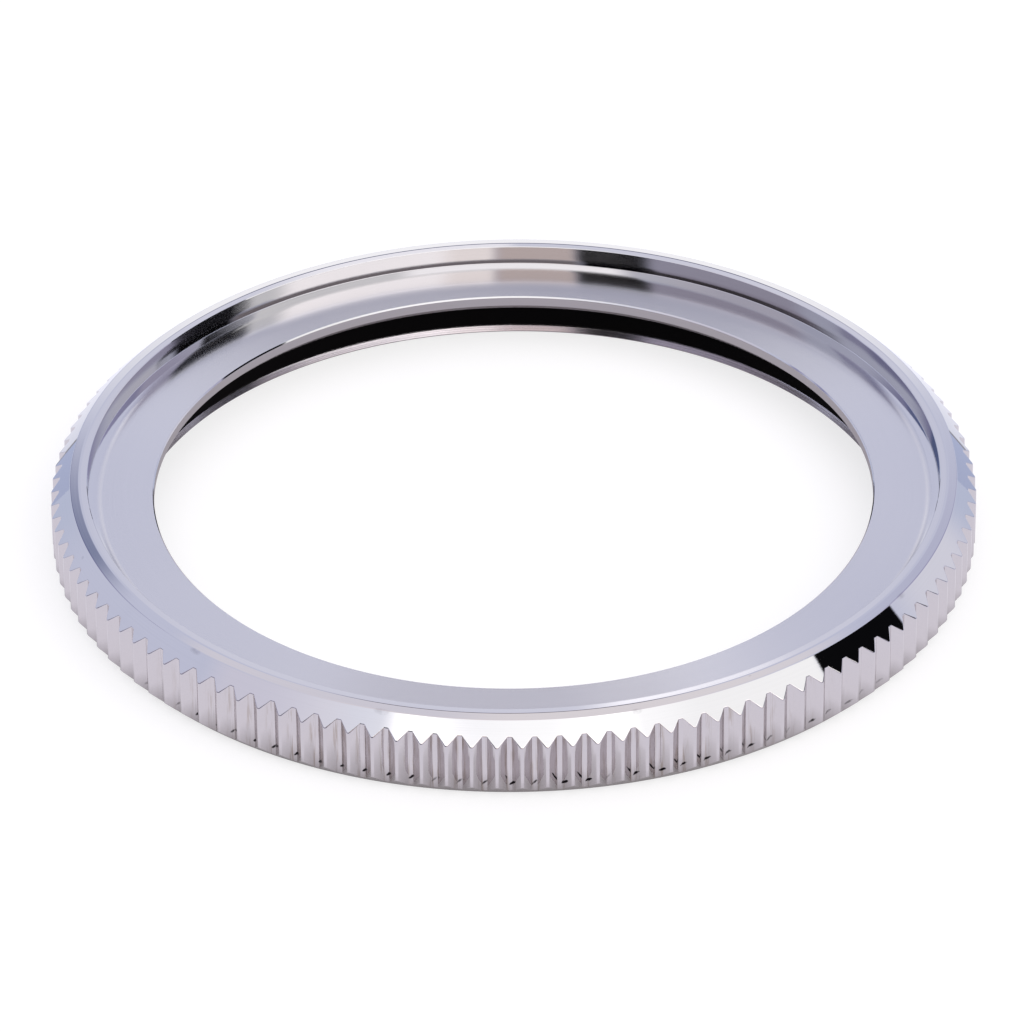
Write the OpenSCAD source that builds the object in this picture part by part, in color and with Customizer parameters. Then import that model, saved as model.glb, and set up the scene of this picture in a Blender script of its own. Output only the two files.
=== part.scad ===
// Rotating divers' watch bezel: a coin-edged steel ring with a black gasket
// inside its lower groove. The ring's axis is Z, and it rests on Z = 0.

/* [Insert seat] */
// Diameter of the flat insert that drops into the seat
insert_d = 38; // [34:0.1:44]
// Room between the insert's edge and the seat wall
insert_clearance = 0.05; // [0.02:0.01:0.1]
// Depth of the seat below the rim
seat_depth = 0.96; // [0.6:0.02:1.4]
// Width of the seat floor, from the seat wall in to the bore
seat_w = 2.95; // [2.2:0.05:3.6]
// Fillet where the seat wall meets the floor
seat_fillet = 0.2; // [0.05:0.01:0.3]

/* [Bore and flange] */
// Thickness of the flange that carries the seat floor
flange_t = 0.75; // [0.6:0.01:1.2]
// Bevel on the upper edge of the bore
bore_bevel = 0.12; // [0.04:0.01:0.2]
// Bevel on the lower edge of the bore
bore_relief = 0.3; // [0.1:0.01:0.35]

/* [Rim and bevel] */
// Width of the rim, from the seat wall to where the bevel would meet its level
rim_w = 0.71; // [0.5:0.01:1.2]
// Width of the conical bevel, seen from above
bevel_w = 0.94; // [0.5:0.01:1.2]
// Slope of the bevel below the horizontal
bevel_angle = 45; // [30:1:50]
// Width of the level part of the rim, from the seat wall out
rim_flat_w = 0.35; // [0.2:0.01:0.45]
// Slope of the rim's outer part
rim_slope = 7.5; // [3:0.5:12]
// Small break on the rim's inner edge
rim_break = 0.05; // [0.02:0.01:0.1]

/* [Coin edge] */
// Number of upright grooves round the edge
flute_count = 120; // [90:1:126]
// Depth of a groove
flute_depth = 0.36; // [0.2:0.01:0.4]
// Angle between the two sides of a groove
flute_angle = 94; // [80:1:98]
// Width of the flat at the bottom of a groove
flute_floor_w = 0.2; // [0.1:0.01:0.22]
// Bevel under the coin edge
foot_bevel = 0.62; // [0.45:0.01:0.8]
// Turn that brings the grooves where the photograph has them, in degrees
flute_phase = -0.77; // [-1.5:0.01:1.5]

/* [Gasket] */
// Thickness of the gasket, across the ring's axis
gasket_t = 0.55; // [0.4:0.01:0.8]
// Height of the gasket, along the ring's axis
gasket_h = 1.46; // [1.1:0.01:1.8]
// Rounding of the gasket's corners
gasket_round = 0.12; // [0.04:0.01:0.15]
// Distance from the seat wall in to the gasket's groove
gasket_inset = 1.15; // [0.9:0.05:1.4]
// Radial room between the gasket and its groove
gasket_side_gap = 0.05; // [0.02:0.01:0.1]
// Room above and below the gasket
gasket_end_gap = 0.05; // [0.02:0.01:0.1]

/* [Lip] */
// Height of the lip that holds the gasket in
lip_h = 0.35; // [0.25:0.01:0.6]
// Room between the lip and the watch case's neck
lip_clearance = 0.02; // [0.01:0.01:0.1]
// How far the lip's inner face leans back towards its top
lip_lean = 0.12; // [0.05:0.01:0.2]

/* [Click teeth] */
// Number of ratchet teeth under the ring
click_count = 120; // [60:60:120]
// Height of a tooth
click_h = 0.3; // [0.15:0.01:0.45]
// Flat left between two teeth at the inner end
click_land = 0.06; // [0.04:0.01:0.2]
// Width of the ratchet track
click_w = 1.4; // [1:0.05:1.45]
// Depth of the track below the foot
click_recess = 0.1; // [0.05:0.01:0.2]
// Ring of plain foot between the gasket's groove and the track
inner_foot_w = 0.3; // [0.2:0.01:0.35]

/* [Hidden] */
$fn = 150;
over = 1;
arc_steps = 6;
edge_margin = 0.1;
flute_clear = 0.04;
flute_start = 0.1;
bottom_break = 0.06;

// Radii, from the seat wall outwards and inwards
seat_r = insert_d / 2 + insert_clearance;
bevel_top_r = seat_r + rim_w;
crest_r = bevel_top_r + bevel_w;
bore_r = seat_r - seat_w;
groove_r = seat_r - gasket_inset;
gasket_r = groove_r - gasket_side_gap;
neck_r = gasket_r - gasket_t;
lip_r = neck_r + lip_clearance;
track_in_r = groove_r + inner_foot_w;
track_out_r = track_in_r + click_w;

// Heights, from the foot up
gasket_z = lip_h + gasket_end_gap;
flange_z = gasket_z + gasket_h + gasket_end_gap;
seat_z = flange_z + flange_t;
rim_z = seat_z + seat_depth;
crest_z = rim_z - bevel_w * tan(bevel_angle);

// Points of an arc about [cx, cz], from angle a0 to a1
function arc(cx, cz, r, a0, a1) =
    [for (i = [0 : arc_steps])
        let (a = a0 + (a1 - a0) * i / arc_steps)
        [cx + r * cos(a), cz + r * sin(a)]];

// Corner where the sloping part of the rim meets the bevel
function rim_corner() =
    let (flat_r = seat_r + rim_flat_w, fall = tan(rim_slope), steep = tan(bevel_angle))
    let (corner_r = (bevel_top_r * steep - flat_r * fall) / (steep - fall))
    [[flat_r, rim_z], [corner_r, rim_z - (corner_r - flat_r) * fall]];

// Half of the turned ring's section, drawn beside the axis
module ring_section() {
    lip_top_r = lip_r + lip_lean;
    polygon(concat(
        [[lip_r, bottom_break], [lip_top_r, lip_h - bottom_break]],
        [[lip_top_r + bottom_break, lip_h], [groove_r, lip_h]],
        [[groove_r, flange_z], [bore_r + bore_relief, flange_z]],
        [[bore_r, flange_z + bore_relief], [bore_r, seat_z - bore_bevel]],
        [[bore_r + bore_bevel, seat_z]],
        arc(seat_r - seat_fillet, seat_z + seat_fillet, seat_fillet, -90, 0),
        [[seat_r, rim_z - rim_break], [seat_r + rim_break, rim_z]],
        rim_corner(),
        [[crest_r, crest_z], [crest_r, foot_bevel], [crest_r - foot_bevel, 0]],
        [[track_out_r, 0], [track_out_r, click_recess]],
        [[track_in_r, click_recess], [track_in_r, 0]],
        [[lip_r + bottom_break, 0]]
    ));
}

// One upright groove, cut through from the upper bevel to the lower one. Seen
// from above it is a V with a flat floor.
module flute_cutter() {
    reach = flute_depth + flute_clear;
    half = flute_floor_w / 2 + reach * tan(flute_angle / 2);
    translate([0, flute_depth - crest_r, flute_start])
        linear_extrude(height = rim_z)
            polygon([
                [-flute_floor_w / 2, 0], [flute_floor_w / 2, 0],
                [half, -reach], [-half, -reach]
            ]);
}

module flutes() {
    for (i = [0 : flute_count - 1])
        rotate([0, 0, flute_phase + i * 360 / flute_count]) flute_cutter();
}

// One gap between two ratchet teeth: steep on one side, sloping on the other
module click_cutter() {
    in_r = track_in_r + edge_margin;
    out_r = track_out_r - edge_margin;
    gap_w = 2 * in_r * sin(180 / click_count) - click_land;
    translate([-gap_w / 2, -in_r, click_recess])
        rotate([90, 0, 0])
            linear_extrude(height = out_r - in_r)
                polygon([[0, -click_recess], [0, click_h], [gap_w, 0], [gap_w, -click_recess]]);
}

module click_teeth() {
    for (i = [0 : click_count - 1])
        rotate([0, 0, i * 360 / click_count]) click_cutter();
}

// The steel ring, turned, then cut round its edge and underneath
module bezel_ring() {
    color("silver")
        difference() {
            rotate_extrude() ring_section();
            flutes();
            click_teeth();
        }
}

// The gasket that grips the neck of the watch case
module bezel_gasket() {
    low = gasket_z + gasket_round;
    high = gasket_z + gasket_h - gasket_round;
    near = neck_r + gasket_round;
    far = gasket_r - gasket_round;
    color([0.05, 0.05, 0.05])
        rotate_extrude()
            polygon(concat(
                arc(near, low, gasket_round, 180, 270),
                arc(far, low, gasket_round, 270, 360),
                arc(far, high, gasket_round, 0, 90),
                arc(near, high, gasket_round, 90, 180)
            ));
}

bezel_ring();
bezel_gasket();
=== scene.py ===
import math
import bpy
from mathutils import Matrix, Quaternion, Vector


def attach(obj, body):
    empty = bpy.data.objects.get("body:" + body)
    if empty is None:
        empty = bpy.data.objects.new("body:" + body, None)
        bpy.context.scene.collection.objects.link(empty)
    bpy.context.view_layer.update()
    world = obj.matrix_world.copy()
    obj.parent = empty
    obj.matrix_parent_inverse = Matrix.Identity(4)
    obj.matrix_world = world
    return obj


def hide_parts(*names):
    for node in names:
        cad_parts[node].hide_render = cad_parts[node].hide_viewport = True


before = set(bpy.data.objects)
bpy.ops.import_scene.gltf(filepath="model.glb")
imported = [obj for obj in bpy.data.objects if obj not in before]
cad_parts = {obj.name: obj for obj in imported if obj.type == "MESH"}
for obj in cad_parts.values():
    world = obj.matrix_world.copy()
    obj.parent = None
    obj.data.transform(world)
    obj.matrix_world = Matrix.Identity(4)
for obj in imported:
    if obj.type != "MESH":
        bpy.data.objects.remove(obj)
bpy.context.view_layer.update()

# The steel ring. It is turned from stainless bar in one piece: seat for a flat insert,
# polished wall, rim and bevel. Then 120 upright V grooves are cut round its edge with a
# form tool, and 120 click teeth are milled into the track underneath. Sizes are in mm.
MM = 0.001
CELLS = 120
CELL = 2 * math.pi / CELLS
GROOVE_PHASE = math.radians(-0.77)


def turned_path(corners, steps=4):
    """Points with normals along a turned section. A corner is (r, z, rounding radius),
    and the air is on the right-hand side of the path."""
    path = []
    for i, (r, z, rounding) in enumerate(corners):
        here = Vector((r, z))
        before = (here - Vector(corners[i - 1][:2])).normalized() if i else None
        after = (Vector(corners[i + 1][:2]) - here).normalized() if i + 1 < len(corners) else None
        if before is None or after is None:
            way = after if before is None else before
            path.append(((r, z), (way.y, -way.x)))
            continue
        turn = math.atan2(before.x * after.y - before.y * after.x, before.dot(after))
        reach = rounding * math.tan(abs(turn) / 2)
        start = here - before * reach
        side = math.copysign(1.0, turn)
        centre = start + Vector((-before.y, before.x)) * rounding * side
        spoke = start - centre
        for k in range(steps + 1):
            a = turn * k / steps
            c, s = math.cos(a), math.sin(a)
            spot = centre + Vector((spoke.x * c - spoke.y * s, spoke.x * s + spoke.y * c))
            way = Vector((before.x * c - before.y * s, before.x * s + before.y * c))
            path.append(((spot.x, spot.y), (way.y, -way.x)))
    return path


def place(r, angle, z):
    return Vector((r * math.sin(angle), -r * math.cos(angle), z)) * MM


def aim(out, round_it, up, angle):
    """A normal given outward, round the ring and upward, turned to its angle"""
    s, c = math.sin(angle), math.cos(angle)
    return Vector((out * s + round_it * c, -out * c + round_it * s, up)).normalized()


class Body:
    """Collects the points, faces and face-corner normals of one mesh"""

    def __init__(self):
        self.points = []
        self.faces = []
        self.normals = []
        self.finish = []

    def ring(self, spots):
        """Adds a closed row of (r, angle, z, normal) and returns its entries"""
        row = []
        for r, angle, z, normal in spots:
            row.append((len(self.points), angle, normal))
            self.points.append(place(r, angle, z))
        return row

    def face(self, corners, finish, normal=None):
        self.faces.append([c[0] for c in corners])
        self.normals.extend([normal if normal is not None else c[2] for c in corners])
        self.finish.append(finish)

    def flat_face(self, corners, finish):
        self.face(corners, finish, self.flat_normal(corners))

    def band(self, a, b, finish, flat=False):
        """Quads between two rows with as many points; b comes after a on the path"""
        n = len(a)
        for i in range(n):
            j = (i + 1) % n
            corners = [a[i], a[j], b[j], b[i]]
            self.face(corners, finish, self.flat_normal(corners) if flat else None)

    def stitch(self, a, b, finish, normal):
        """Triangles between two rows with different counts, on one flat face"""
        i = j = 0
        count_a, count_b = len(a), len(b)
        turn = 2 * math.pi
        while i < count_a or j < count_b:
            next_a = a[(i + 1) % count_a][1] + turn * ((i + 1) // count_a)
            next_b = b[(j + 1) % count_b][1] + turn * ((j + 1) // count_b)
            if j >= count_b or (i < count_a and next_a <= next_b):
                corners = [a[i % count_a], a[(i + 1) % count_a], b[j % count_b]]
                i += 1
            else:
                corners = [a[i % count_a], b[(j + 1) % count_b], b[j % count_b]]
                j += 1
            self.face(corners, finish, normal)

    def flat_normal(self, corners):
        p = [self.points[c[0]] for c in corners]
        return (p[2] - p[0]).cross(p[-1] - p[1]).normalized()

    def build(self, name, materials):
        mesh = bpy.data.meshes.new(name)
        mesh.from_pydata([tuple(p) for p in self.points], [], self.faces)
        for material in materials:
            mesh.materials.append(material)
        mesh.polygons.foreach_set("material_index", self.finish)
        mesh.polygons.foreach_set("use_smooth", [True] * len(self.faces))
        mesh.normals_split_custom_set([tuple(n) for n in self.normals])
        mesh.update()
        piece = bpy.data.objects.new(name, mesh)
        bpy.context.scene.collection.objects.link(piece)
        return piece


POLISHED, SEAT, COIN, UNDER, WALL = range(5)
TURNED_ROWS = 720
UP = Vector((0, 0, 1))
DOWN = Vector((0, 0, -1))


def turned_rows(body, path, count, phase):
    """One closed row of points for each point of a turned path"""
    rows = []
    for (r, z), (out, up) in path:
        spots = []
        for i in range(count):
            angle = phase + 2 * math.pi * i / count
            spots.append((r, angle, z, aim(out, 0, up, angle)))
        rows.append(body.ring(spots))
    return rows


ring_body = Body()

# Inside of the ring, from the rim over the seat and the bore down to the foot. The seat's
# outer edge is a shallow dish that rises to the wall.
SEAT_WALL_R = 19.05
SEAT_Z = 2.66
SEAT_DISH_W = 0.50
SEAT_DISH_H = 0.07
SEAT_DISH_CURVE = 1.6
SEAT_FALL = 0.02
RIM_Z = 3.62
RIM_BREAK = 0.025
RIM_FLAT_R = SEAT_WALL_R + 0.35
RIM_SEAM_IN_R = RIM_FLAT_R - 0.14
BORE_R = 16.10
BORE_BEVEL = 0.06
BORE_RELIEF = 0.3
FLANGE_Z = 1.91
GASKET_GROOVE_R = 17.90
LIP_R = 17.32
LIP_TOP_R = 17.44
LIP_H = 0.35
LIP_BREAK = 0.06
FOOT_SEAM_IN_R = 18.0
CRISP_EDGE = 0.01
FINE_EDGE = 0.02
PLAIN_EDGE = 0.03
INNER_CORNER = 0.06

inner_path = turned_path([
    (RIM_SEAM_IN_R, RIM_Z, 0),
    (SEAT_WALL_R + RIM_BREAK, RIM_Z, CRISP_EDGE),
    (SEAT_WALL_R, RIM_Z - RIM_BREAK, CRISP_EDGE),
    (SEAT_WALL_R, SEAT_Z + SEAT_DISH_H, PLAIN_EDGE),
    (SEAT_WALL_R - SEAT_DISH_W, SEAT_Z - SEAT_FALL, SEAT_DISH_CURVE),
    (BORE_R + BORE_BEVEL, SEAT_Z + SEAT_FALL, FINE_EDGE),
    (BORE_R, SEAT_Z + SEAT_FALL - BORE_BEVEL, FINE_EDGE),
    (BORE_R, FLANGE_Z + BORE_RELIEF, PLAIN_EDGE),
    (BORE_R + BORE_RELIEF, FLANGE_Z, PLAIN_EDGE),
    (GASKET_GROOVE_R, FLANGE_Z, INNER_CORNER),
    (GASKET_GROOVE_R, LIP_H, PLAIN_EDGE),
    (LIP_TOP_R + LIP_BREAK, LIP_H, FINE_EDGE),
    (LIP_TOP_R, LIP_H - LIP_BREAK, FINE_EDGE),
    (LIP_R, LIP_BREAK, FINE_EDGE),
    (LIP_R + LIP_BREAK, 0, FINE_EDGE),
    (FOOT_SEAM_IN_R, 0, 0),
])
# Heights between which each finish goes
SEAT_TOP_Z = SEAT_Z + SEAT_DISH_H - 0.005
SEAT_LOW_Z = SEAT_Z - SEAT_FALL - 0.000001
POLISHED_LOW_Z = RIM_Z - RIM_BREAK - 0.02
UNDER_TOP_Z = FLANGE_Z + 0.01

inner_rows = turned_rows(ring_body, inner_path, TURNED_ROWS, GROOVE_PHASE)
for k in range(len(inner_rows) - 1):
    z0, z1 = inner_path[k][0][1], inner_path[k + 1][0][1]
    if max(z0, z1) < SEAT_TOP_Z and min(z0, z1) > SEAT_LOW_Z:
        finish = SEAT
    elif z1 < UNDER_TOP_Z:
        finish = UNDER
    else:
        finish = POLISHED if z1 > POLISHED_LOW_Z else WALL
    ring_body.band(inner_rows[k], inner_rows[k + 1], finish)

# Click teeth: each has one steep side, and slopes down to a narrow land
TRACK_IN_R = 18.2
TRACK_OUT_R = 19.6
TEETH_IN_R = 18.3
TEETH_OUT_R = 19.5
TRACK_Z = 0.1
TOOTH_H = 0.3
TOOTH_LAND_HALF = 0.03
TOOTH_HALF = TEETH_IN_R * math.sin(CELL / 2) - TOOTH_LAND_HALF
tooth_x = [-TOOTH_HALF, -TOOTH_HALF / 3, TOOTH_HALF / 3, TOOTH_HALF]


def tooth_row(r, z, straight=True):
    """Four points for each tooth, on a straight line across it or on the track's circle"""
    spots = []
    for cell in range(CELLS):
        for x in tooth_x:
            angle = math.atan2(x, r) if straight else math.asin(x / r)
            reach = math.hypot(x, r) if straight else r
            spots.append((reach, cell * CELL + angle, z, DOWN))
    return ring_body.ring(spots)


def tooth_tops(r):
    """The sloping top of each gap, which comes down to the land at its fourth point"""
    spots = []
    for cell in range(CELLS):
        for k in range(3):
            angle = math.atan2(tooth_x[k], r)
            height = TRACK_Z + TOOTH_H * (1 - k / 3)
            spots.append((math.hypot(tooth_x[k], r), cell * CELL + angle, height, DOWN))
    return ring_body.ring(spots)


track_in_edge = tooth_row(TRACK_IN_R, 0.0, False)
track_in = tooth_row(TRACK_IN_R, TRACK_Z, False)
teeth_in = tooth_row(TEETH_IN_R, TRACK_Z)
teeth_out = tooth_row(TEETH_OUT_R, TRACK_Z)
track_out = tooth_row(TRACK_OUT_R, TRACK_Z, False)
track_out_edge = tooth_row(TRACK_OUT_R, 0.0, False)
tops_in = tooth_tops(TEETH_IN_R)
tops_out = tooth_tops(TEETH_OUT_R)

ring_body.stitch(inner_rows[-1], track_in_edge, UNDER, DOWN)
ring_body.band(track_in_edge, track_in, UNDER, True)
ring_body.band(track_in, teeth_in, UNDER, True)
ring_body.band(teeth_out, track_out, UNDER, True)
ring_body.band(track_out, track_out_edge, UNDER, True)

for cell in range(CELLS):
    low_in = [teeth_in[4 * cell + k] for k in range(4)]
    low_out = [teeth_out[4 * cell + k] for k in range(4)]
    high_in = [tops_in[3 * cell + k] for k in range(3)] + [low_in[3]]
    high_out = [tops_out[3 * cell + k] for k in range(3)] + [low_out[3]]
    after = (4 * cell + 4) % (4 * CELLS)
    ring_body.flat_face([low_in[3], teeth_in[after], teeth_out[after], low_out[3]], UNDER)
    ring_body.flat_face([low_in[0], high_in[0], high_out[0], low_out[0]], UNDER)
    for k in range(3):
        ring_body.flat_face([high_in[k], high_in[k + 1], high_out[k + 1], high_out[k]], UNDER)
    for k in range(2):
        ring_body.flat_face([low_in[k], low_in[k + 1], high_in[k + 1], high_in[k]], UNDER)
        ring_body.flat_face([high_out[k], high_out[k + 1], low_out[k + 1], low_out[k]], UNDER)
    ring_body.flat_face([low_in[2], low_in[3], high_in[2]], UNDER)
    ring_body.flat_face([high_out[2], low_out[3], low_out[2]], UNDER)

# The coin edge, from the foot up to the rim. Columns follow the groove's corners, and
# rows follow the zigzags where the grooves meet the upper and the lower bevel.
CREST_R = 20.70
BEVEL_W = 0.94
CREST_Z = RIM_Z - BEVEL_W
RIM_SLOPE = math.tan(math.radians(7.5))
RIM_CURVE = 0.9
RIM_SEAM_OUT_R = RIM_FLAT_R - 0.08
BEVEL_TOP_R = (CREST_R - BEVEL_W - RIM_FLAT_R * RIM_SLOPE) / (1 - RIM_SLOPE)
BEVEL_TOP_Z = RIM_Z - (BEVEL_TOP_R - RIM_FLAT_R) * RIM_SLOPE
BEVEL_SOFT = 0.03
BEVEL_TOP_EDGE = 0.08
FOOT_BEVEL = 0.62
FOOT_EDGE = 0.06
FOOT_SEAM_OUT_R = 19.75
GROOVE_FLOOR_R = CREST_R - 0.36
GROOVE_FLOOR_HALF = 0.1
GROOVE_SLOPE = math.tan(math.radians(90 - 94 / 2))
TOOL_NOSE = 0.020
EDGE_SOFT = 0.024
CUSP_SOFT = 0.032
CUSP_REACH = 0.3


def soft_min(a, b, width):
    """The smaller of two radii, with the corner between them rounded over a width"""
    overlap = max(width - abs(a - b), 0.0) / width
    return min(a, b) - overlap * overlap * width / 4


def soft_max(a, b, width):
    return -soft_min(-a, -b, width)


def turned_r(z):
    """Radius of the turned blank at a height, with 45 degree bevels above and below"""
    below = soft_min(CREST_R, CREST_R - (FOOT_BEVEL - z), BEVEL_SOFT)
    return soft_min(below, CREST_R - (z - CREST_Z), BEVEL_SOFT)


def groove_r(angle):
    """Radius of the form tool's cut at an angle from the groove's middle"""
    cosine = math.cos(angle)
    sine = abs(math.sin(angle))
    flat = GROOVE_FLOOR_R / cosine
    flank = (GROOVE_FLOOR_R - GROOVE_FLOOR_HALF * GROOVE_SLOPE) / (cosine - sine * GROOVE_SLOPE)
    return soft_max(flat, flank, TOOL_NOSE)


def edge_soft(z):
    """Rounding of the groove's edges. The polishing felt rounds the cusps under the bevel more."""
    near_cusp = max(0.0, 1 - abs(z - CREST_Z) / CUSP_REACH)
    return EDGE_SOFT + CUSP_SOFT * near_cusp * near_cusp * (3 - 2 * near_cusp)


def skin_r(angle, z):
    return soft_min(turned_r(z), groove_r(angle), edge_soft(z))


def skin_point(angle, z):
    """A point of the coin edge, as radius, angle, height and its normal there"""
    step = 0.0002
    r = skin_r(angle, z)
    along_z = (skin_r(angle, z + step) - skin_r(angle, z - step)) / (2 * step)
    turn = step / r
    round_it = (skin_r(angle + turn, z) - skin_r(angle - turn, z)) / (2 * step)
    size = math.sqrt(1 + along_z ** 2 + round_it ** 2)
    return (r, angle, z), (1 / size, -round_it / size, -along_z / size)


CUSP_X = 0.486
COLUMN_LOW_Z = 0.04
COLUMN_MIDDLE_Z = (1.1, 2.0)
POLISHED_ROWS = 3
BEVEL_ROW = 0.66
BEVEL_ROW_Z = 3.24

half_x = [0, GROOVE_FLOOR_HALF - 0.021, GROOVE_FLOOR_HALF, GROOVE_FLOOR_HALF + 0.021, 0.21, 0.33]
half_x += [CUSP_X - 0.031, CUSP_X - 0.0155, CUSP_X, CUSP_X + 0.0115, CUSP_X + 0.026]
half_angles = [math.asin(x / CREST_R) for x in half_x]
column_angles = [-CELL / 2] + [-a for a in half_angles[:0:-1]] + half_angles

foot_path = turned_path([
    (FOOT_SEAM_OUT_R, 0, 0),
    (CREST_R - FOOT_BEVEL, 0, FOOT_EDGE),
    (CREST_R - FOOT_BEVEL + FOOT_EDGE / 2, FOOT_EDGE / 2, 0),
])
rim_path = turned_path([
    (CREST_R - BEVEL_ROW, CREST_Z + BEVEL_ROW, 0),
    (BEVEL_TOP_R, BEVEL_TOP_Z, BEVEL_TOP_EDGE),
    (RIM_FLAT_R, RIM_Z, RIM_CURVE),
    (RIM_SEAM_OUT_R, RIM_Z, 0),
], 6)


def column(angle):
    """Points up one column, close together where the groove meets the two bevels"""
    depth = max(0.0, CREST_R - groove_r(angle))
    low = FOOT_BEVEL - depth
    top = CREST_Z + depth
    spread = [-1.1, -0.55, 0, 0.55, 1.1]
    heights = [COLUMN_LOW_Z] + [low + EDGE_SOFT * part for part in spread]
    heights += COLUMN_MIDDLE_Z
    heights += [top + edge_soft(top) * part for part in spread]
    heights += [top + (BEVEL_ROW_Z - top) * 0.6]
    return [skin_point(angle, z) for z in heights]


cell_columns = [column(angle) for angle in column_angles]
skin_rows = []
for (r, z), (out, up) in foot_path:
    skin_rows.append([((r, angle, z), (out, 0, up)) for angle in column_angles])
for k in range(len(cell_columns[0])):
    skin_rows.append([one_column[k] for one_column in cell_columns])
for (r, z), (out, up) in rim_path:
    skin_rows.append([((r, angle, z), (out, 0, up)) for angle in column_angles])

skin = []
for row in skin_rows:
    spots = []
    for cell in range(CELLS):
        middle = GROOVE_PHASE + cell * CELL
        for (r, angle, z), normal in row:
            spots.append((r, middle + angle, z, aim(*normal, middle + angle)))
    skin.append(ring_body.ring(spots))
for k in range(len(skin) - 1):
    on_foot = k < len(foot_path) - 1
    on_edge = k < len(foot_path) + len(cell_columns[0]) - POLISHED_ROWS
    finish = UNDER if on_foot else (COIN if on_edge else POLISHED)
    ring_body.band(skin[k], skin[k + 1], finish)

ring_body.stitch(track_out_edge, skin[0], UNDER, DOWN)
ring_body.stitch(skin[-1], inner_rows[0], POLISHED, UP)


def new_material(name):
    material = bpy.data.materials.new(name)
    material.use_nodes = True
    nodes = material.node_tree.nodes
    shader = nodes["Principled BSDF"]
    return material, nodes, material.node_tree.links, shader


def node(nodes, kind, **settings):
    made = nodes.new(kind)
    for key, value in settings.items():
        setattr(made, key, value)
    return made


def math_node(tree, kind, a, b=None, c=None, clamp=False):
    """A Math node whose inputs are sockets or plain numbers"""
    made = tree.nodes.new("ShaderNodeMath")
    made.operation = kind
    made.use_clamp = clamp
    for slot_index, value in enumerate((a, b, c)):
        if value is None:
            continue
        if isinstance(value, (int, float)):
            made.inputs[slot_index].default_value = value
        else:
            tree.links.new(value, made.inputs[slot_index])
    return made.outputs[0]


def squares(tree, a, b):
    """The sum of the squares of two values"""
    return math_node(tree, "ADD", math_node(tree, "MULTIPLY", a, a), math_node(tree, "MULTIPLY", b, b))


def noise(tree, where, scale, detail=2.0):
    """The grey value of a cloudy pattern at a place"""
    made = tree.nodes.new("ShaderNodeTexNoise")
    made.inputs["Scale"].default_value = scale
    made.inputs["Detail"].default_value = detail
    tree.links.new(where, made.inputs["Vector"])
    return made.outputs["Fac"]


def new_group(name, inputs, outputs):
    group = bpy.data.node_groups.new(name, "ShaderNodeTree")
    for label, default in inputs:
        socket = group.interface.new_socket(name=label, in_out="INPUT", socket_type="NodeSocketFloat")
        socket.default_value = default
    for label in outputs:
        group.interface.new_socket(name=label, in_out="OUTPUT", socket_type="NodeSocketFloat")
    return group, group.nodes.new("NodeGroupInput"), group.nodes.new("NodeGroupOutput")


def use_group(nodes, group, **values):
    made = nodes.new("ShaderNodeGroup")
    made.node_tree = group
    for key, value in values.items():
        made.inputs[key].default_value = value
    return made


def ring_position(tree):
    """Sockets for the distance from the ring's axis, the angle round it and the height, in mm"""
    coords = tree.nodes.new("ShaderNodeTexCoord")
    split = tree.nodes.new("ShaderNodeSeparateXYZ")
    tree.links.new(coords.outputs["Object"], split.inputs[0])
    x, y, z = [math_node(tree, "MULTIPLY", part, 1 / MM) for part in split.outputs]
    radius = math_node(tree, "SQRT", squares(tree, x, y))
    angle = math_node(tree, "ARCTAN2", x, math_node(tree, "MULTIPLY", y, -1.0))
    return radius, angle, z, coords.outputs["Object"]


# Fine lines that the lathe tool and the polishing felt leave round the ring, and a faint
# cloudiness of the steel
MEAN_R = 20.0
turned_lines, group_in, group_out = new_group(
    "turned_lines", [("Spacing", 0.05), ("Length", 6.0)], ["Lines", "Cloud"],
)
radius, angle, height, spot = ring_position(turned_lines)
per_mm = math_node(turned_lines, "DIVIDE", 1.0, group_in.outputs["Spacing"])
arc = math_node(turned_lines, "MULTIPLY", angle, MEAN_R)
line = turned_lines.nodes.new("ShaderNodeCombineXYZ")
turned_lines.links.new(math_node(turned_lines, "MULTIPLY", radius, per_mm), line.inputs[0])
turned_lines.links.new(math_node(turned_lines, "MULTIPLY", height, per_mm), line.inputs[1])
turned_lines.links.new(math_node(turned_lines, "DIVIDE", arc, group_in.outputs["Length"]), line.inputs[2])
turned_lines.links.new(noise(turned_lines, line.outputs[0], 1.0, 3.0), group_out.inputs["Lines"])
turned_lines.links.new(noise(turned_lines, spot, 420.0, 4.0), group_out.inputs["Cloud"])

# Marks in the grooves: a slanting black speck at the low end of some grooves towards
# the front, and brownish residue on the walls of the grooves at the front. Lengths are in
# mm, and places round the ring in radians from the front.
SPECK_Z = 0.70
SPECK_HALF_LONG = 0.20
SPECK_HALF_WIDE = 0.06
SPECK_SLANT = 0.707
SPECK_FIRST_X = -0.06
SPECK_SPREAD_X = 0.30
SPECK_CRUMBLE = 1.6
SPECK_LEAST = 0.25
SPECK_MORE = 1.4
SPECK_DARK = 2.2
SPECKS_MIDDLE = -0.35
SPECKS_REACH = 1.35
RESIDUE_X = 0.16
RESIDUE_MIDDLE = -0.06

groove_specks_and_residue, group_in, group_out = new_group("groove_specks_and_residue", [], ["Specks", "Residue"])
angle, height, spot = ring_position(groove_specks_and_residue)[1:]
turns = math_node(groove_specks_and_residue, "MULTIPLY_ADD", angle, 1 / CELL, -GROOVE_PHASE / CELL)
number = math_node(groove_specks_and_residue, "ROUND", turns)
from_middle = math_node(groove_specks_and_residue, "SUBTRACT", turns, number)
across = math_node(groove_specks_and_residue, "MULTIPLY", from_middle, CELL * CREST_R)
chance = node(groove_specks_and_residue.nodes, "ShaderNodeTexWhiteNoise", noise_dimensions="1D")
groove_specks_and_residue.links.new(number, chance.inputs["W"])

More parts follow.
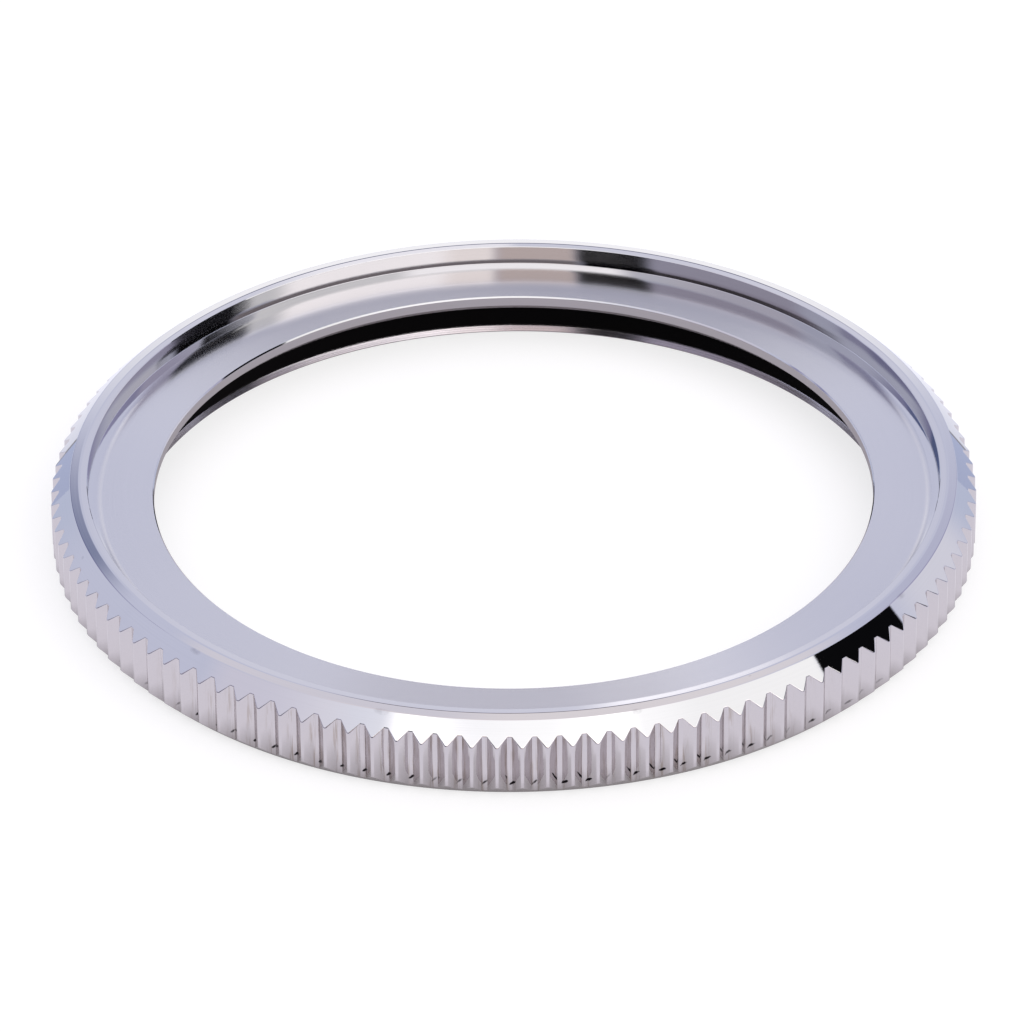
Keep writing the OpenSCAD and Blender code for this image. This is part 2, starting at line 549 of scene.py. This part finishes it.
speck_x = math_node(groove_specks_and_residue, "MULTIPLY_ADD", chance.outputs["Value"], SPECK_SPREAD_X, SPECK_FIRST_X)
sideways = math_node(groove_specks_and_residue, "SUBTRACT", across, speck_x)
upward = math_node(groove_specks_and_residue, "SUBTRACT", height, SPECK_Z)
along = math_node(groove_specks_and_residue, "ADD", sideways, upward)
along = math_node(groove_specks_and_residue, "MULTIPLY", along, SPECK_SLANT / SPECK_HALF_LONG)
aside = math_node(groove_specks_and_residue, "SUBTRACT", upward, sideways)
aside = math_node(groove_specks_and_residue, "MULTIPLY", aside, SPECK_SLANT / SPECK_HALF_WIDE)
reach = math_node(groove_specks_and_residue, "SUBTRACT", squares(groove_specks_and_residue, along, aside), SPECK_CRUMBLE / 2)
reach = math_node(groove_specks_and_residue, "MULTIPLY_ADD", noise(groove_specks_and_residue, spot, 9000.0), SPECK_CRUMBLE, reach)
speck = math_node(groove_specks_and_residue, "SUBTRACT", 1.0, reach, clamp=True)
from_front = math_node(groove_specks_and_residue, "ABSOLUTE", math_node(groove_specks_and_residue, "SUBTRACT", angle, SPECKS_MIDDLE))
near_front = math_node(groove_specks_and_residue, "SUBTRACT", SPECKS_REACH, from_front, clamp=True)
amount = math_node(groove_specks_and_residue, "MULTIPLY_ADD", chance.outputs["Value"], SPECK_MORE, SPECK_LEAST)
speck = math_node(groove_specks_and_residue, "MULTIPLY", math_node(groove_specks_and_residue, "MULTIPLY", speck, near_front), amount)
speck = math_node(groove_specks_and_residue, "MULTIPLY", speck, SPECK_DARK, clamp=True)
groove_specks_and_residue.links.new(speck, group_out.inputs["Specks"])

# The smears run up the groove, are narrow across it, and differ from groove to groove
smear_at = groove_specks_and_residue.nodes.new("ShaderNodeCombineXYZ")
for slot_index, (value, finer) in enumerate([(number, 0.37), (height, 0.45), (across, 9.0)]):
    groove_specks_and_residue.links.new(math_node(groove_specks_and_residue, "MULTIPLY", value, finer), smear_at.inputs[slot_index])
smear = noise(groove_specks_and_residue, smear_at.outputs[0], 1.7, 3.0)
from_wall = math_node(groove_specks_and_residue, "SUBTRACT", math_node(groove_specks_and_residue, "ABSOLUTE", across), RESIDUE_X)
from_wall = math_node(groove_specks_and_residue, "ABSOLUTE", from_wall)
on_wall = math_node(groove_specks_and_residue, "MULTIPLY_ADD", from_wall, -8.0, 1.25, clamp=True)
smeared = math_node(groove_specks_and_residue, "MULTIPLY_ADD", smear, 6.0, -2.9, clamp=True)
from_front = math_node(groove_specks_and_residue, "ABSOLUTE", math_node(groove_specks_and_residue, "SUBTRACT", angle, RESIDUE_MIDDLE))
near_front = math_node(groove_specks_and_residue, "MULTIPLY_ADD", from_front, -2.6, 2.2, clamp=True)
residue = math_node(groove_specks_and_residue, "MULTIPLY", math_node(groove_specks_and_residue, "MULTIPLY", smeared, on_wall), near_front)
groove_specks_and_residue.links.new(residue, group_out.inputs["Residue"])

# Greasy smudges on the corner between rim and bevel, each an oval with a ragged edge. A
# smudge is given as degrees from the front, radius, half its length and half its width.
SMUDGES = [
    (-71.0, 20.10, 0.12, 0.07),
    (-44.0, 19.86, 0.34, 0.12),
    (-16.7, 19.84, 0.40, 0.14),
    (15.0, 19.85, 0.30, 0.12),
    (31.0, 19.50, 0.10, 0.06),
    (58.0, 19.84, 0.36, 0.12),
]
rim_smudges, group_in, group_out = new_group("rim_smudges", [], ["Smudge"])
radius, angle, _, spot = ring_position(rim_smudges)
smudged = 0.0
for turn, at_r, half_long, half_wide in SMUDGES:
    per_turn = at_r / half_long
    along = math_node(rim_smudges, "MULTIPLY_ADD", angle, per_turn, -math.radians(turn) * per_turn)
    aside = math_node(rim_smudges, "MULTIPLY_ADD", radius, 1 / half_wide, -at_r / half_wide)
    oval = math_node(rim_smudges, "SUBTRACT", 1.0, squares(rim_smudges, along, aside), clamp=True)
    smudged = math_node(rim_smudges, "ADD", smudged, oval)
ragged = math_node(rim_smudges, "MULTIPLY_ADD", noise(rim_smudges, spot, 5000.0), 1.6, -0.3, clamp=True)
smudged = math_node(rim_smudges, "MULTIPLY", smudged, ragged, clamp=True)
rim_smudges.links.new(smudged, group_out.inputs["Smudge"])


TINT = 0.03
LINE_DEPTH = 0.01 * MM


def turned_finish(name, colour, dull, grain, spacing, length, bump, directed, marks=()):
    """Steel whose reflections are smeared across the lines that turning left in it"""
    material, nodes, links, shader = new_material(name)
    tree = material.node_tree
    lines = use_group(nodes, turned_lines, Spacing=spacing, Length=length)
    shader.inputs["Metallic"].default_value = 1.0
    shader.inputs["Anisotropic"].default_value = directed
    shader.inputs["Anisotropic Rotation"].default_value = 0.25
    tangent = node(nodes, "ShaderNodeTangent", direction_type="RADIAL", axis="Z")
    links.new(tangent.outputs[0], shader.inputs["Tangent"])
    spread = math_node(tree, "MULTIPLY_ADD", lines.outputs["Cloud"], grain, dull - grain * 0.5)
    links.new(spread, shader.inputs["Roughness"])
    tint = node(nodes, "ShaderNodeMix", data_type="RGBA")
    links.new(lines.outputs["Lines"], tint.inputs["Factor"])
    tint.inputs["A"].default_value = (*[part * (1 - TINT) for part in colour], 1)
    tint.inputs["B"].default_value = (*[part * (1 + TINT) for part in colour], 1)
    shown = tint.outputs["Result"]
    for group, output, stain, strength in marks:
        mark = use_group(nodes, group).outputs[output]
        layer = node(nodes, "ShaderNodeMix", data_type="RGBA")
        links.new(math_node(tree, "MULTIPLY", mark, strength), layer.inputs["Factor"])
        links.new(shown, layer.inputs["A"])
        layer.inputs["B"].default_value = (*stain, 1)
        shown = layer.outputs["Result"]
    links.new(shown, shader.inputs["Base Color"])
    relief = node(nodes, "ShaderNodeBump")
    relief.inputs["Strength"].default_value = bump
    relief.inputs["Distance"].default_value = LINE_DEPTH
    links.new(lines.outputs["Lines"], relief.inputs["Height"])
    links.new(relief.outputs[0], shader.inputs["Normal"])
    return material


STEEL = (0.585, 0.577, 0.587)
COIN_STEEL = (0.56, 0.522, 0.53)
UNDER_STEEL = (0.55, 0.52, 0.54)
grease = [(rim_smudges, "Smudge", (0.30, 0.29, 0.30), 0.6)]
groove_marks = [
    (groove_specks_and_residue, "Residue", (0.36, 0.30, 0.26), 0.7),
    (groove_specks_and_residue, "Specks", (0.006, 0.004, 0.006), 1.0),
]
polished = turned_finish(
    "polished_steel", STEEL, dull=0.018, grain=0.010,
    spacing=0.04, length=8.0, bump=0.015, directed=0.3, marks=grease,
)
seat = turned_finish(
    "satin_seat_steel", STEEL, dull=0.12, grain=0.015,
    spacing=0.04, length=60.0, bump=0.03, directed=1.0,
)
coin = turned_finish(
    "coin_edge_steel", COIN_STEEL, dull=0.06, grain=0.02,
    spacing=0.05, length=2.0, bump=0.03, directed=0.0, marks=groove_marks,
)
under = turned_finish(
    "turned_underside_steel", UNDER_STEEL, dull=0.20, grain=0.06,
    spacing=0.05, length=10.0, bump=0.4, directed=0.7,
)
wall = turned_finish(
    "turned_wall_steel", STEEL, dull=0.06, grain=0.02,
    spacing=0.04, length=8.0, bump=0.05, directed=0.7,
)

turned_ring = ring_body.build("turned_ring", [polished, seat, coin, under, wall])
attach(turned_ring, "ring")
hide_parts("bezel_ring")

# The gasket. It is a moulded band of black rubber, pressed over the lip into the ring's
# inner groove, and it grips the neck of the watch case so that the ring turns stiffly.
GASKET_ROOM = 0.05
GASKET_R = GASKET_GROOVE_R - GASKET_ROOM
NECK_R = GASKET_R - 0.55
GASKET_LOW = LIP_H + GASKET_ROOM
GASKET_HIGH = FLANGE_Z - GASKET_ROOM
GASKET_ROUND = 0.12
GASKET_ROWS = 360
MOULD_LINE_H = 0.012
MOULD_LINE_W = 0.02
PORE_DEPTH = 0.02 * MM

gasket_body = Body()
middle = (GASKET_LOW + GASKET_HIGH) / 2
gasket_path = turned_path([
    (NECK_R, middle, 0),
    (NECK_R, GASKET_LOW, GASKET_ROUND),
    (GASKET_R, GASKET_LOW, GASKET_ROUND),
    (GASKET_R, GASKET_HIGH, GASKET_ROUND),
    (NECK_R, GASKET_HIGH, GASKET_ROUND),
    (NECK_R, middle + MOULD_LINE_W, 0),
], 6)
gasket_path.append(((NECK_R + MOULD_LINE_H, middle + MOULD_LINE_W / 2), (-1, 0)))
gasket_rows = turned_rows(gasket_body, gasket_path, GASKET_ROWS, 0.0)
for k in range(len(gasket_rows)):
    gasket_body.band(gasket_rows[k], gasket_rows[(k + 1) % len(gasket_rows)], 0)

rubber, nodes, links, shader = new_material("black_moulded_rubber")
tree = rubber.node_tree
coords = nodes.new("ShaderNodeTexCoord")
pores = noise(tree, coords.outputs["Object"], 9000.0, 4.0)
bloom = noise(tree, coords.outputs["Object"], 500.0)
shade = node(nodes, "ShaderNodeMix", data_type="RGBA")
shade.inputs["A"].default_value = (0.0015, 0.0013, 0.0015, 1)
shade.inputs["B"].default_value = (0.004, 0.0036, 0.004, 1)
links.new(bloom, shade.inputs["Factor"])
links.new(shade.outputs["Result"], shader.inputs["Base Color"])
links.new(math_node(tree, "MULTIPLY_ADD", bloom, 0.2, 0.5), shader.inputs["Roughness"])
shader.inputs["Specular IOR Level"].default_value = 0.04
relief = node(nodes, "ShaderNodeBump")
relief.inputs["Strength"].default_value = 0.3
relief.inputs["Distance"].default_value = PORE_DEPTH
links.new(pores, relief.inputs["Height"])
links.new(relief.outputs[0], shader.inputs["Normal"])

neck_gasket = gasket_body.build("neck_gasket", [rubber])
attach(neck_gasket, "gasket")
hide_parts("bezel_gasket")

# The white table that the ring lies on. It is a plain matt sheet, lit evenly, and it keeps
# the soft shadow of the ring. Sizes are in metres.
TABLE_HALF = 2.0
TABLE_GAP = 0.00001
SHEET_REACH = 0.05

table = bpy.data.meshes.new("white_table")
corners = [(x * TABLE_HALF, y * TABLE_HALF, 0) for x, y in ((-1, -1), (1, -1), (1, 1), (-1, 1))]
table.from_pydata(corners, [], [(0, 1, 2, 3)])
white_table = bpy.data.objects.new("white_table", table)
white_table.location.z = -TABLE_GAP
bpy.context.scene.collection.objects.link(white_table)

table_white, nodes, links, shader = new_material("matt_white_table")
tree = table_white.node_tree
nodes.remove(shader)
matt = node(nodes, "ShaderNodeBsdfDiffuse")
matt.inputs["Color"].default_value = (0.34, 0.34, 0.34, 1)

# The painted shade and light that the steel sees in the sheet, by distance from the ring's axis:
# painted shade of the ring, then painted light, then a painted dark line at the sheet's edge with a painted
# reflection of the blue room beyond it
coords = nodes.new("ShaderNodeTexCoord")
length = node(nodes, "ShaderNodeVectorMath", operation="LENGTH")
links.new(coords.outputs["Object"], length.inputs[0])
painted_sheet_tone = node(nodes, "ShaderNodeValToRGB")
links.new(math_node(tree, "MULTIPLY", length.outputs["Value"], 1 / SHEET_REACH), painted_sheet_tone.inputs["Fac"])
stops = [
    (0.300, (0.27, 0.24, 0.27)),
    (0.330, (0.20, 0.18, 0.20)),
    (0.405, (0.20, 0.19, 0.20)),
    (0.440, (0.74, 0.75, 0.83)),
    (0.690, (0.64, 0.67, 0.78)),
    (0.698, (0.0, 0.0, 0.0)),
    (0.712, (0.0, 0.0, 0.0)),
    (0.716, (0.24, 0.31, 0.53)),
]
while len(painted_sheet_tone.color_ramp.elements) < len(stops):
    painted_sheet_tone.color_ramp.elements.new(0.5)
for stop, (position, colour) in zip(painted_sheet_tone.color_ramp.elements, stops):
    stop.position = position
    stop.color = (*colour, 1)

# Only the camera and the polished steel see this glow: the camera an even white, the steel the painted shade
# and light above. It lights nothing.
path = nodes.new("ShaderNodeLightPath")
seen = node(nodes, "ShaderNodeMix", data_type="RGBA")
seen.inputs["A"].default_value = (0, 0, 0, 1)
links.new(path.outputs["Is Glossy Ray"], seen.inputs["Factor"])
links.new(painted_sheet_tone.outputs["Color"], seen.inputs["B"])
shown = node(nodes, "ShaderNodeMix", data_type="RGBA")
shown.inputs["B"].default_value = (0.71, 0.71, 0.71, 1)
links.new(path.outputs["Is Camera Ray"], shown.inputs["Factor"])
links.new(seen.outputs["Result"], shown.inputs["A"])
glow = node(nodes, "ShaderNodeEmission")
glow.inputs["Strength"].default_value = 1.0
links.new(shown.outputs["Result"], glow.inputs["Color"])
both = nodes.new("ShaderNodeAddShader")
links.new(matt.outputs[0], both.inputs[0])
links.new(glow.outputs[0], both.inputs[1])
links.new(both.outputs[0], nodes["Material Output"].inputs["Surface"])
table.materials.append(table_white)

# The studio round the table, as light from each direction: one large soft box in front and
# to the right, a pale lavender room behind, and a few dark stands and cards.
world = bpy.data.worlds.new("studio")
bpy.context.scene.world = world
world.use_nodes = True
tree = world.node_tree
nodes, links = tree.nodes, tree.links
coords = nodes.new("ShaderNodeTexCoord")
split = nodes.new("ShaderNodeSeparateXYZ")
links.new(coords.outputs["Generated"], split.inputs[0])
degrees = 180 / math.pi
bearing = math_node(tree, "ARCTAN2", split.outputs[0], math_node(tree, "MULTIPLY", split.outputs[1], -1.0))
bearing = math_node(tree, "MULTIPLY", bearing, degrees)
off_front = math_node(tree, "ABSOLUTE", bearing)
lift = math_node(tree, "MULTIPLY", math_node(tree, "ARCSINE", split.outputs[2]), degrees)


def fade(value, edge, width):
    """0 before an edge and 1 after it, with a soft step as wide as given"""
    step = node(nodes, "ShaderNodeMapRange", interpolation_type="SMOOTHSTEP")
    step.inputs["From Min"].default_value = edge - width / 2
    step.inputs["From Max"].default_value = edge + width / 2
    links.new(value, step.inputs["Value"])
    return step.outputs[0]


def between(value, edges, width):
    return math_node(tree, "SUBTRACT", fade(value, edges[0], width), fade(value, edges[1], width))


def card(under_it, colour, turns, lifts, sides, ends, both_sides=False):
    """Lays one patch of light or shade over the studio seen so far. Turns and lifts are in
    degrees, from the front and up from the table, with the width of their soft edges."""
    wide = between(off_front if both_sides else bearing, turns, sides)
    tall = between(lift, lifts, ends)
    layer = node(nodes, "ShaderNodeMix", data_type="RGBA")
    links.new(math_node(tree, "MULTIPLY", wide, tall), layer.inputs["Factor"])
    layer.inputs["B"].default_value = (*colour, 1)
    if isinstance(under_it, tuple):
        layer.inputs["A"].default_value = (*under_it, 1)
    else:
        links.new(under_it, layer.inputs["A"])
    return layer.outputs["Result"]


ROOM = (0.83, 0.86, 1.07)
patches = [
    # Warm pale ceiling, and cooler light all round from the table's level down
    ((1.12, 1.03, 1.08), (-200, 200), (62, 110), 2, 12),
    ((0.72, 0.78, 1.00), (-200, 200), (-100, 8), 2, 14),
    # Lavender wall behind at the left, with a darker corner
    ((0.34, 0.34, 0.57), (-160, -112), (25, 40), 8, 4),
    ((0.44, 0.43, 0.66), (-117, -103), (30.5, 40), 4, 3),
    ((0.15, 0.19, 0.38), (-166.5, -148), (24, 38), 4, 4),
    # Wall behind at the right, lighter near the table
    ((1.02, 1.02, 1.15), (104, 136), (8, 24), 16, 10),
    ((0.66, 0.63, 0.84), (106, 146), (27.5, 44), 9, 5),
    ((0.46, 0.45, 0.69), (136, 165), (26.5, 44), 6, 5),
    # Straight behind: a window with two lamps in it, its dark bars and the light above
    ((1.42, 1.42, 1.46), (170, 200), (4, 27), 8, 6, True),
    ((0.99, 1.00, 1.16), (176.4, 200), (27, 39), 2.4, 4, True),
    ((1.70, 1.68, 1.78), (177.4, 179.2), (34.3, 36.2), 0.6, 0.6),
    ((1.38, 1.36, 1.45), (-180.2, -178.0), (30.6, 32.6), 0.8, 0.8),
    ((0.14, 0.12, 0.15), (176, 200), (39.5, 45), 2, 1.5, True),
    ((0.27, 0.28, 0.40), (175, 200), (22.5, 30.3), 2, 2, True),
    ((1.14, 1.08, 1.12), (166, 200), (43.5, 66), 12, 3, True),
    # Dimmer side at the left, and the pale reflector above it
    ((0.60, 0.56, 0.71), (-86, -26), (10, 35), 9, 4),
    ((0.94, 0.92, 1.08), (-95, -50), (37.5, 52), 14, 4),
    # Pale light high up behind, a little to the left
    ((1.00, 0.97, 1.08), (-178, -166), (43.5, 60), 4, 3),
    # The soft box in front and to the right: its large face, the dim band under it, its
    # bright middle with a warmer and darker left part, and a bright strip along the top
    ((1.66, 1.66, 1.67), (-38, 86), (43, 66), 88, 10),
    ((1.50, 1.50, 1.50), (6, 86), (27, 50), 3, 5),
    ((0.36, 0.32, 0.34), (-18, 78), (-4, 20), 6, 4),
    ((2.20, 2.04, 1.95), (4, 30), (22, 41), 6, 4),
    ((2.52, 2.44, 2.42), (18, 66), (22, 41), 8, 4),
    ((1.22, 1.03, 0.97), (-18, 4), (22, 46), 5, 4),
    ((2.45, 2.42, 2.42), (-36, 34), (46.5, 54), 10, 2.5),
    # Black stands and cards on both sides of the soft box, and a low dark one at the left
    ((0.003, 0.003, 0.004), (-38.5, -18.0), (0, 46.5), 4, 2),
    ((0.005, 0.005, 0.006), (77.5, 99.0), (8, 35.4), 4.0, 1.2),
    ((0.005, 0.005, 0.006), (85.6, 107.2), (20, 46), 0.6, 2),
    ((0.08, 0.07, 0.08), (-95, -36), (2, 17), 8, 4),
]
view = ROOM
for patch in patches:
    view = card(view, *patch)

# The camera itself sees plain white behind the ring
background = nodes["Background"]
links.new(view, background.inputs["Color"])
rays = nodes.new("ShaderNodeLightPath")
plain = node(nodes, "ShaderNodeBackground")
plain.inputs["Color"].default_value = (1, 1, 1, 1)
chosen = nodes.new("ShaderNodeMixShader")
links.new(rays.outputs["Is Camera Ray"], chosen.inputs["Fac"])
links.new(background.outputs[0], chosen.inputs[1])
links.new(plain.outputs[0], chosen.inputs[2])
links.new(chosen.outputs[0], nodes["World Output"].inputs["Surface"])

# The camera stands in front, 33 degrees above the table, on a long lens. Its place was
# found from the ring's circles in the photo. Places are in mm, from the ring's foot.
CAMERA_AT = Vector((0.0, -282.927, 185.594)) * MM
CAMERA_AIM = Vector((0.076, 1.560, 0.0)) * MM
CAMERA_ROLL = math.radians(-0.5306)
lens = bpy.data.cameras.new("camera")
lens.sensor_width = 36.0
lens.lens = 262.65
lens.clip_start = 0.01
lens.clip_end = 10.0
camera = bpy.data.objects.new("camera", lens)
bpy.context.scene.collection.objects.link(camera)
camera.location = CAMERA_AT
camera.rotation_mode = "QUATERNION"
look = (CAMERA_AIM - CAMERA_AT).to_track_quat("-Z", "Y")
camera.rotation_quaternion = look @ Quaternion((0, 0, 1), CAMERA_ROLL)
bpy.context.scene.camera = camera
bpy.context.scene.view_settings.view_transform = "Standard"
